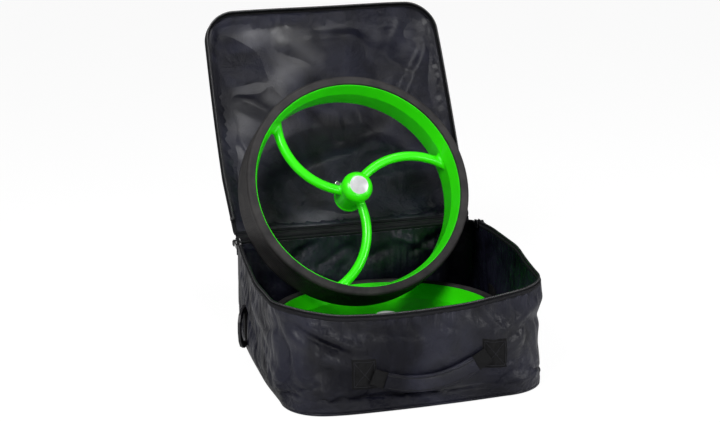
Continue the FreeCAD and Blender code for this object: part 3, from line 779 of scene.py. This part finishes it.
strip_low = hinge_strip("hinge_strip_low", [
    (0.1586, 0.1102), (0.1588, 0.118), (0.1590, 0.1255), (0.1594, 0.1315), (0.1612, 0.1352),
], False)
strip_high = hinge_strip("hinge_strip_high", [
    (0.1612, 0.1358), (0.1588, 0.1392), (0.1574, 0.1412), (0.1568, 0.1436), (0.1566, 0.1468),
], True)
x = np.linspace(-HINGE_HALF, HINGE_HALF, 400)
piping_path = np.stack([x, np.full(400, HINGE[1]), np.full(400, HINGE[2])], 1)
piping_out = np.broadcast_to(np.array([0.0, 1.0, 0.0]), (400, 3))
turns = np.linspace(0.0, 2 * math.pi, 17)[:-1]
ring = HINGE_CORD_R * np.stack([np.cos(turns), np.sin(turns)], 1)
ring = ring[None] * (1.0 + 0.04 * np.sin(x * 2600.0))[:, None, None]
piping = sweep("hinge_piping", piping_path, piping_out, ring)
for piece, node, body in (
    (strip_low, "hinge_strip_bag", "bag"),
    (strip_high, "hinge_strip_lid", "hinge_line"),
    (piping, "hinge_cord", "hinge_line"),
):
    dress(piece, binding_cloth)
    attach(piece, body)
    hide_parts(node)

# Lid
# A thin padded panel: a crowned nylon cover outside, a looser lining inside that hangs in broad
# soft folds, bound at the edge, with the other half of the zip sewn round three sides.
lid_half_x = 0.1575
lid_half_y = 0.1565
lid_front_r = 0.0395
lid_back_r = 0.003
EDGE_HALF_X = 0.1565
EDGE_HALF_Y = 0.1555
EDGE_BACK_R = 0.0035


def lid_rows(straight, bend):
    """Places from back to front, close together where the corners are round."""
    back = lid_half_y - lid_back_r
    front = -lid_half_y + lid_front_r
    turn = np.linspace(0.0, math.pi / 2, bend)
    return np.concatenate([
        back + lid_back_r * np.sin(turn[::-1]),
        np.linspace(back, front, straight)[1:-1],
        front - lid_front_r * np.sin(turn),
    ])


def lid_half(y):
    """Half the lid's width at each place, rounded in at the four corners."""
    over_back = np.clip((y - (lid_half_y - lid_back_r)) / lid_back_r, 0.0, 1.0)
    over_front = np.clip((-lid_half_y + lid_front_r - y) / lid_front_r, 0.0, 1.0)
    back = lid_back_r * (1.0 - np.sqrt(1.0 - over_back ** 2))
    front = lid_front_r * (1.0 - np.sqrt(1.0 - over_front ** 2))
    return lid_half_x - back - front


# The lining's folds, in metres: place across and from the hinge of one end, of the other, width,
# height
LID_FOLDS = (
    (-0.112, 0.300, -0.030, 0.205, 0.024, -0.0058),
    (-0.150, 0.250, -0.075, 0.262, 0.026, 0.0040),
    (0.030, 0.268, 0.026, 0.200, 0.016, 0.0044),
    (-0.012, 0.276, 0.044, 0.270, 0.006, 0.0022),
    (0.044, 0.270, 0.108, 0.216, 0.006, 0.0026),
    (0.000, 0.296, 0.080, 0.292, 0.013, -0.0040),
    (0.114, 0.305, 0.084, 0.250, 0.010, 0.0036),
    (0.146, 0.290, 0.122, 0.276, 0.007, -0.0032),
    (0.150, 0.270, 0.100, 0.185, 0.012, 0.0044),
    (0.130, 0.250, 0.092, 0.190, 0.007, -0.0030),
    (-0.150, 0.196, -0.100, 0.206, 0.009, -0.0040),
    (-0.118, 0.190, -0.088, 0.170, 0.009, 0.0036),
    (-0.148, 0.176, -0.140, 0.120, 0.010, -0.0032),
    (-0.060, 0.078, 0.050, 0.112, 0.014, 0.0052),
    (0.050, 0.112, 0.110, 0.096, 0.012, 0.0040),
    (0.030, 0.062, 0.120, 0.074, 0.012, 0.0042),
    (-0.125, 0.120, -0.080, 0.060, 0.012, 0.0034),
    (-0.100, 0.040, -0.030, 0.020, 0.010, -0.0032),
    (-0.010, 0.176, 0.004, 0.130, 0.010, -0.0034),
    (0.030, 0.180, 0.036, 0.146, 0.009, 0.0028),
)


def lid_sway(x, y):
    """A slow wave across the lid that grows toward its free end."""
    return 0.0012 * np.sin(x * 24.0 + 1.2) * np.clip((0.05 - y) / 0.2, 0.0, 1.0)


lid_y = lid_rows(64, 9)
lid_u = np.sin(np.linspace(-math.pi / 2, math.pi / 2, 76)) * 0.35 + np.linspace(-1.0, 1.0, 76) * 0.65
gy, gu = np.meshgrid(lid_y, lid_u, indexing="ij")
gx = gu * lid_half(gy)
near_edge = np.minimum(lid_half(gy) - np.abs(gx), lid_half_y - np.abs(gy))
inside = np.clip(near_edge / 0.03, 0.0, 1.0)
inside = inside * inside * (3.0 - 2.0 * inside)
sway = lid_sway(gx, gy)
outer = 0.1488 + sway + 0.0035 * inside * (1.0 - 0.25 * (gx / 0.158) ** 2)
outer = outer + inside * 0.0008 * np.sin(gx * 61.0 + gy * 23.0) * np.sin(gy * 47.0 + 0.6)
lining = 0.1462 + sway - 0.0014 * inside - inside * folds(gx, 0.1565 - gy, LID_FOLDS)
lid_points = np.concatenate([
    np.stack([gx, gy, outer], -1),
    np.stack([gx, gy, lining], -1)[:, ::-1],
], 1)
lid_cut = np.concatenate([lid_points[..., :2], lid_points[:, :1, :2]], 1)
lid_cover = skin("lid_cover", opened(drawn(lid_points)), lid_cut, loop_u=True, caps=True)
free = np.concatenate([np.zeros_like(inside), inside[:, ::-1]], 1)
settle(lid_cover, np.clip(1.0 - 3.0 * free, 0.0, 1.0).ravel(), 22, 0.006, 0.25, 0.02)
dress(lid_cover, bag_nylon)
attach(lid_cover, "lid")
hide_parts("lid_panel")


def lid_line(places, low):
    """A line round the closed lid at one height, swaying with the panel, and its outward side."""
    flat, out = outline(places, EDGE_HALF_X, EDGE_HALF_Y, RIM_FRONT_R, EDGE_BACK_R)
    path = np.concatenate([flat, (low + lid_sway(flat[:, 0], flat[:, 1]))[:, None]], 1)
    level = np.concatenate([out, np.zeros((len(out), 1))], 1)
    return opened(drawn(path)), opened(level + HINGE) - HINGE


edge_path, edge_out = lid_line(rim_at, 0.1475)
lid_edge = sweep("lid_edge_binding", edge_path, edge_out, rounded(0.0052, 0.0056, 0.002, 4), loop=True)
dress(lid_edge, binding_cloth)
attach(lid_edge, "lid")
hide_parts("lid_binding")
zip_places = np.linspace(ZIP_START, 1.0 - ZIP_START, 3400)
lid_tape_path, lid_tape_out = lid_line(zip_places[::7], 0.1421)
lid_tape = sweep("lid_zip_tape", lid_tape_path, lid_tape_out, rounded(0.001, 0.0056, 0.0004, 1))
dress(lid_tape, tape_cloth)
lid_coil_path, lid_coil_out = lid_line(zip_places, 0.1382)
lid_coil = sweep("lid_zip_coil", lid_coil_path, lid_coil_out, coil_section(lid_coil_path))
dress(lid_coil, coil_black)
for piece, node, kind in (
    (lid_tape, "zip_tape_lid", "binding"),
    (lid_coil, "zip_coil_lid", "zip"),
):
    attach(piece, "lid")
    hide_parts(node)


def refinish(finish, slot_name, *names):
    """Gives CAD pieces that stay a finish of their own."""
    for name in names:
        dress(nodes[name], finish)


refinish(coil_black, "zip", "zip_stops_bag", "zip_stops_lid")

# Zip sliders and pulls
# Die-cast sliders left at the back ends of the zip, lacquered black, with flat pull tabs.
lacquer = Finish("slider_lacquer", {"Metallic": 0.6, "Coat Roughness": 0.15, "Specular IOR Level": 0.5})
scuff = lacquer.noise(420.0, 4.0)
black = (0.012, 0.012, 0.014, 1.0)
bare = (0.09, 0.09, 0.095, 1.0)
lacquer.feed(lacquer.surface, {
    "Base Color": lacquer.ramp(scuff, [(0.55, black), (0.78, bare)]),
    "Roughness": 0.26 + 0.25 * scuff,
    "Coat Weight": 1.0 - lacquer.band(scuff, 0.6, 0.8),
    "Normal": lacquer.bump(scuff, 0.00008),
})
refinish(lacquer, "slider_metal", "zip_slider_left", "zip_slider_right", "zip_pull_left", "zip_pull_right")

# Front handle
# Two webbing patches sewn to the front with a box and a cross, and a strap between them with a
# padded nylon grip folded round its middle. It hangs slack, so it sags in the middle.
FRONT_Y = -0.1652
STRAP_LEFT = -0.0515
STRAP_RIGHT = 0.0775
STRAP_TOPS = (0.041, 0.053)
STRAP_SAG = 0.0178
TWILL = 2 * math.pi / 0.0022
STITCH = 0.0032
THREAD_R = 0.00042
PATCH_SEAM = 0.84
PATCH_LEAN = 0.0012
webbing_weave = Finish("webbing_weave", {"Specular IOR Level": 0.15})
cut = webbing_weave.place("UV")
along_web = webbing_weave.node("ShaderNodeSeparateXYZ", {}, {0: cut}, 0)
across_web = webbing_weave.node("ShaderNodeSeparateXYZ", {}, {0: cut}, 1)
rising = {0: (along_web + across_web) * TWILL}
falling = {0: (along_web - across_web) * TWILL}
rows_web = webbing_weave.node("ShaderNodeMath", {"operation": "SINE"}, rising)
picks_web = webbing_weave.node("ShaderNodeMath", {"operation": "SINE"}, falling)
fuzz = webbing_weave.noise(240.0, 4.0)
dark = (0.003, 0.003, 0.0034, 1.0)
worn = (0.009, 0.009, 0.0098, 1.0)
webbing_weave.feed(webbing_weave.surface, {
    "Base Color": webbing_weave.ramp(fuzz, [(0.3, dark), (0.8, worn)]),
    "Roughness": 0.66 + 0.2 * fuzz,
    "Normal": webbing_weave.bump(rows_web * picks_web + fuzz, 0.00022),
})
thread_black = cloth_tape("thread_black", (0.016, 0.016, 0.02, 1.0), 0.0005, 0.42)


def seam(name, path, out, body):
    """A thread along a path that dips into the cloth between stitches."""
    path = np.asarray(path, float)
    run = np.concatenate([[0.0], np.cumsum(np.linalg.norm(np.diff(path, axis=0), axis=1))])
    count = max(24, int(run[-1] / STITCH * 10))
    fine = np.linspace(0.0, run[-1], count)
    line = np.stack([np.interp(fine, run, path[:, k]) for k in range(3)], 1)
    side = np.stack([np.interp(fine, run, np.asarray(out, float)[:, k]) for k in range(3)], 1)
    beat = np.abs(np.sin(math.pi * fine / STITCH)) ** 0.6
    line = line + side * (THREAD_R * (1.5 * beat - 1.0))[:, None]
    turns = np.linspace(0.0, 2 * math.pi, 7)[:-1]
    ring = THREAD_R * np.stack([np.cos(turns), np.sin(turns)], 1)
    piece = sweep(name, line, side, ring)
    dress(piece, thread_black)
    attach(piece, body)


def patch_surface(x, z):
    """How far forward the front wall stands at each place.

    It is the mean of the eight nearest vertices of the settled wall, weighed by one over the
    square of how far off they are.
    """
    wall = corners_of(bag_walls)
    wall = wall[(wall[:, 1] < -0.145) & (np.abs(wall[:, 0]) < 0.125)]
    gap = np.hypot(x[..., None] - wall[:, 0], z[..., None] - wall[:, 2])
    near = np.argsort(gap, axis=-1)[..., :8]
    weight = 1.0 / (np.take_along_axis(gap, near, -1) + 0.0012) ** 2
    return (weight * wall[:, 1][near]).sum(-1) / weight.sum(-1) - 0.0016


def patch(name, middle, low, node):
    """A piece of webbing with soft edges, sewn down with a box and a cross."""
    half_w, half_h = 0.0145, 0.0172
    u = np.linspace(-1.0, 1.0, 30)
    gu, gv = np.meshgrid(u, u)
    lift = 0.0014 * np.clip((1.0 - np.maximum(np.abs(gu), np.abs(gv)) ** 6), 0.0, 1.0) + 0.0002
    x = middle + gu * half_w * (1.0 - 0.02 * gv ** 2)
    z = low + half_h + gv * half_h - gu * PATCH_LEAN
    face = patch_surface(x, z)
    points = np.concatenate([
        np.stack([x, face - lift, z], -1),
        np.stack([x, face + 0.0006, z], -1)[:, ::-1],
    ], 1)
    cut = np.concatenate([points[..., [0, 2]], points[:, :1][..., [0, 2]]], 1)
    piece = skin(name, points[:, ::-1], cut[:, ::-1], loop_u=True, caps=True)
    dress(piece, webbing_weave)
    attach(piece, "bag")
    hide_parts(node)
    box_u = np.array([-1, 1, 1, -1, -1, 1, 1, -1, -1]) * PATCH_SEAM
    box_v = np.array([-1, -1, 1, 1, -1, 1, -1, 1, -1]) * PATCH_SEAM
    steps = np.linspace(0, 8, 161)
    su = np.interp(steps, np.arange(9), box_u)
    sv = np.interp(steps, np.arange(9), box_v)
    sx = middle + su * half_w
    sz = low + half_h + sv * half_h - su * PATCH_LEAN
    sy = patch_surface(sx, sz) - 0.0015
    out = np.broadcast_to(np.array([0.0, -1.0, 0.0]), (161, 3))
    seam(name + "_seam", np.stack([sx, sy, sz], 1), out, "bag")


patch("front_patch_left", -0.0635, 0.0278, "handle_patch_left")
patch("front_patch_right", 0.0895, 0.0368, "handle_patch_right")


def strap_line(x0, x1, samples):
    """The slack strap's middle line between two places, and the way it faces.

    Its height is a straight line between the strap's ends less a parabola of the sag.
    """
    x = np.linspace(x0, x1, samples)
    middle = (STRAP_LEFT + STRAP_RIGHT) / 2
    u = (x - middle) / ((STRAP_RIGHT - STRAP_LEFT) / 2)
    z = (STRAP_TOPS[0] * (1.0 - u) + STRAP_TOPS[1] * (1.0 + u)) / 2.0 - STRAP_SAG * (1.0 - u * u)
    y = np.full(samples, FRONT_Y) - 0.0006 * np.sin(u * 3.0 + 0.4)
    tilt = 0.05 * np.cos(u * 1.4)
    out = np.stack([np.zeros(samples), -np.cos(tilt), np.sin(tilt)], 1)
    return np.stack([x, y, z], 1), out


web_path, web_out = strap_line(STRAP_LEFT - 0.003, STRAP_RIGHT + 0.003, 140)
strap_web = sweep("strap_webbing", web_path, web_out, rounded(0.0018, 0.019, 0.0007, 2))
dress(strap_web, webbing_weave)
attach(strap_web, "handle")
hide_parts("handle_webbing")
grip_path, grip_out = strap_line(STRAP_LEFT + 0.012, STRAP_RIGHT - 0.012, 150)
t = np.linspace(0.0, 1.0, 150)
ends = np.clip(np.minimum(t, 1.0 - t) / 0.09, 0.0, 1.0) ** 0.5
fat = 0.0046 + 0.0026 * ends + 0.0003 * np.sin(t * 41.0)
tall = 0.0196 + 0.0016 * ends - 0.0012 * np.sin(math.pi * t)
turns = np.linspace(0.0, 2 * math.pi, 33)[:-1]
soft = np.stack([
    np.sign(np.cos(turns)) * np.abs(np.cos(turns)) ** 0.75,
    np.sign(np.sin(turns)) * np.abs(np.sin(turns)) ** 0.55,
], 1)
grip_ring = soft[None] * np.stack([fat / 2, tall / 2], 1)[:, None]
strap_grip = sweep("strap_grip", grip_path, grip_out, grip_ring)
dress(strap_grip, bag_nylon)
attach(strap_grip, "handle")
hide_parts("handle_grip")
for name, up in (("strap_grip_seam_low", -0.0072), ("strap_grip_seam_high", 0.0072)):
    line = grip_path + grip_out * (fat / 2 * 0.93 + 0.0002)[:, None] + np.array([0.0, 0.0, up])
    seam(name, line[4:-4], grip_out[4:-4], "handle")

# Side rings
# Moulded plastic loops for a shoulder strap, each held by a doubled webbing tab sewn to the side.
moulded = Finish("ring_plastic_black", {
    "Base Color": (0.012, 0.012, 0.014, 1.0),
    "Specular IOR Level": 0.45,
})
grain = moulded.noise(700.0, 2.0)
moulded.feed(moulded.surface, {
    "Roughness": 0.4 + 0.14 * moulded.noise(90.0, 3.0),
    "Normal": moulded.bump(grain, 0.00006),
})
refinish(moulded, "ring_plastic", "side_ring_left", "side_ring_right")
RING_BAR = (0.16166, 0.058)
TAB_BEND_R = 0.00285
TAB_Z = 0.047


def tab(name, side, node):
    """Webbing led from the wall round the ring's bar and back, sewn down behind it."""
    bend = np.radians(np.linspace(-62.0, -298.0, 26)) + math.pi
    around = np.stack([
        RING_BAR[0] - TAB_BEND_R * np.cos(bend),
        RING_BAR[1] + TAB_BEND_R * np.sin(bend),
    ], 1)
    under = np.array([[0.1590, 0.0860], [0.1590, 0.0760], [0.1590, 0.0660]])
    back = np.array([[0.1606, 0.0660], [0.1606, 0.0760], [0.1606, 0.0845]])
    line = np.concatenate([under, around, back])
    path = np.stack([side * line[:, 0], line[:, 1], np.full(len(line), TAB_Z)], 1)
    step = np.gradient(path, axis=0)
    step = step / np.linalg.norm(step, axis=1, keepdims=True)
    out = np.stack([-step[:, 1], step[:, 0], np.zeros(len(path))], 1)
    piece = sweep(name, path, out, rounded(0.0014, 0.0355, 0.0005, 2))
    dress(piece, webbing_weave)
    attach(piece, "bag")
    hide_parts(node)
    box_y = np.array([0.0665, 0.083, 0.083, 0.0665, 0.0665, 0.083, 0.0665, 0.083])
    box_z = np.array([0.0315, 0.0315, 0.0625, 0.0625, 0.0315, 0.0625, 0.0625, 0.0315])
    steps = np.linspace(0, 7, 141)
    y = np.interp(steps, np.arange(8), box_y)
    z = np.interp(steps, np.arange(8), box_z)
    spots = np.stack([np.full(141, side * 0.1614), y, z], 1)
    seam(name + "_seam", spots, np.broadcast_to(np.array([side, 0.0, 0.0]), (141, 3)), "bag")


tab("side_tab_webbing_left", -1.0, "side_tab_left")
tab("side_tab_webbing_right", 1.0, "side_tab_right")

# Tyres
# Solid black rubber, moulded with fine grooves round the tread and a little dusty in patches.
rubber = Finish("tyre_rubber", {"Specular IOR Level": 0.3})
dust = rubber.noise(38.0, 5.0, 0.65)
fine = rubber.noise(900.0, 2.0)
clean = (0.014, 0.013, 0.0138, 1.0)
dusty = (0.036, 0.0335, 0.033, 1.0)
rubber.feed(rubber.surface, {
    "Base Color": rubber.ramp(dust, [(0.38, clean), (0.68, dusty)]),
    "Roughness": 0.56 + 0.2 * dust,
    "Normal": rubber.bump(fine, 0.00007, rubber.bump(dust, 0.0002)),
})
refinish(rubber, "tyre", "lower_tyre", "upper_tyre")

# Wheel bodies
# Rim, three curved arms and hub in one moulding of glossy lime-green plastic.
lime = Finish("lime_gloss", {"Coat Roughness": 0.06, "Specular IOR Level": 0.35, "Coat Weight": 0.35})
flow = lime.noise(14.0, 3.0)
lime.feed(lime.surface, {
    "Base Color": lime.ramp(flow, [(0.3, (0.03, 0.80, 0.002, 1.0)), (0.75, (0.045, 0.92, 0.003, 1.0))]),
    "Roughness": 0.27 + 0.1 * lime.noise(60.0, 3.0),
    "Normal": lime.bump(lime.noise(120.0, 2.0), 0.00005),
})
refinish(lime, "lime_plastic", "lower_wheel_body", "upper_wheel_body")

# Hub caps
# Satin silver-white discs, bare, pressed into the hub noses.
disc = Finish("cap_satin", {"Metallic": 0.15, "Coat Weight": 0.6, "Coat Roughness": 0.1})
smear = disc.noise(130.0, 4.0)
disc.feed(disc.surface, {
    "Base Color": disc.ramp(smear, [(0.3, (0.52, 0.53, 0.54, 1.0)), (0.75, (0.68, 0.68, 0.69, 1.0))]),
    "Roughness": 0.3 + 0.18 * smear,
    "Normal": disc.bump(smear, 0.00004),
})
refinish(disc, "cap", "lower_hub_cap", "upper_hub_cap")

# Bearings, sleeves and release pins
# Ground and plated steel inside the hubs, with a chromed knob on the plunger.
steel = Finish("ground_steel", {"Metallic": 1.0})
scratch = steel.noise(1.0, 4.0, 0.6, steel.stretched(steel.place(), (400.0, 400.0, 2600.0)))
steel.feed(steel.surface, {
    "Base Color": steel.ramp(scratch, [(0.3, (0.46, 0.46, 0.47, 1.0)), (0.7, (0.62, 0.62, 0.63, 1.0))]),
    "Roughness": 0.2 + 0.2 * scratch,
    "Normal": steel.bump(scratch, 0.00002),
})
chrome = Finish("knob_chrome", {"Metallic": 1.0})
haze = chrome.noise(300.0, 3.0)
chrome.feed(chrome.surface, {
    "Base Color": chrome.ramp(haze, [(0.4, (0.82, 0.82, 0.83, 1.0)), (0.8, (0.72, 0.72, 0.73, 1.0))]),
    "Roughness": 0.07 + 0.12 * haze,
})
for side in ("lower_", "upper_"):
    refinish(
        steel, "steel", side + "bearing_outer_rings", side + "bearing_balls", side + "bearing_inner_rings",
        side + "axle_sleeve", side + "bearing_clip", side + "release_spring", side + "release_pin",
    )
    refinish(chrome, "knob_metal", side + "release_knob", side + "release_bush")
